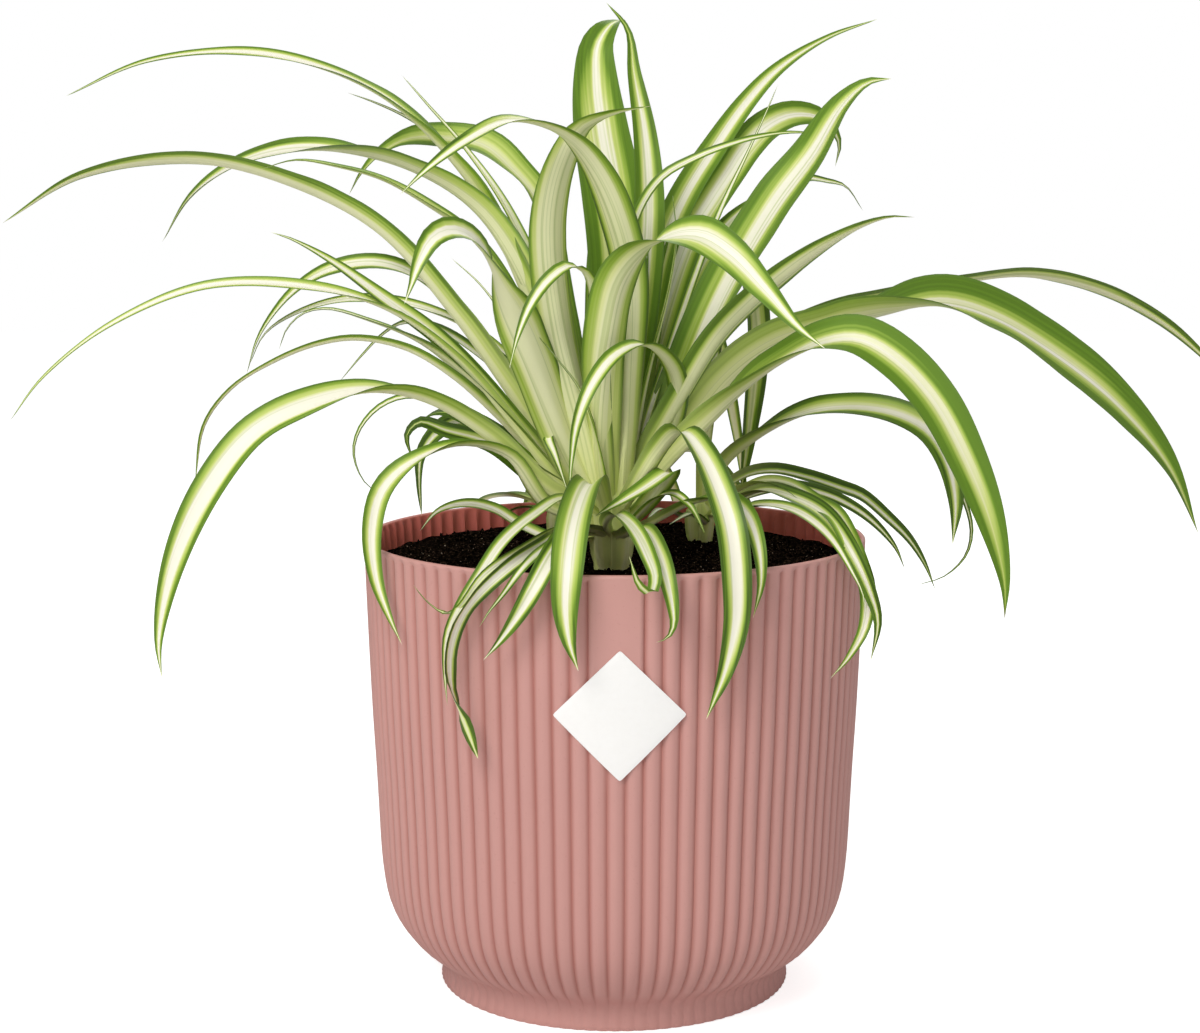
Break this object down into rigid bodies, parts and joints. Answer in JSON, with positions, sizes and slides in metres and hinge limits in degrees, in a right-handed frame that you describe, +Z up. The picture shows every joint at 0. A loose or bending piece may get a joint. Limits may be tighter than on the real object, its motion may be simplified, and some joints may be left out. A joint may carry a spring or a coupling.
{
  "type": "potted spider plant",
  "caption": "Potted spider plant: long striped leaves arch from crowns in dark soil, in a round ribbed planter that narrows to a foot.",
  "frame": {"origin": "middle of the pot's underside, on the surface it stands on", "axes": "+Z up along the pot's axis; the front, with the blank label, faces -Y; +X is to the right seen from the front"},
  "size_m": [0.5918, 0.347, 0.4302],
  "materials": {
    "pot": "dusty pink moulded plastic, satin, fine ribs",
    "soil": "near-black potting soil, granular and matt",
    "label": "blank white paper label, smooth",
    "leaves": "smooth waxy leaves, green margins with a cream to lime centre stripe, semi-gloss"
  },
  "bodies": {
    "root": {"pot": "pot", "soil": "soil", "label": "label", "rosette_main": "leaves", "rosette_right": "leaves", "rosette_back": "leaves"}
  },
  "joints": []
}
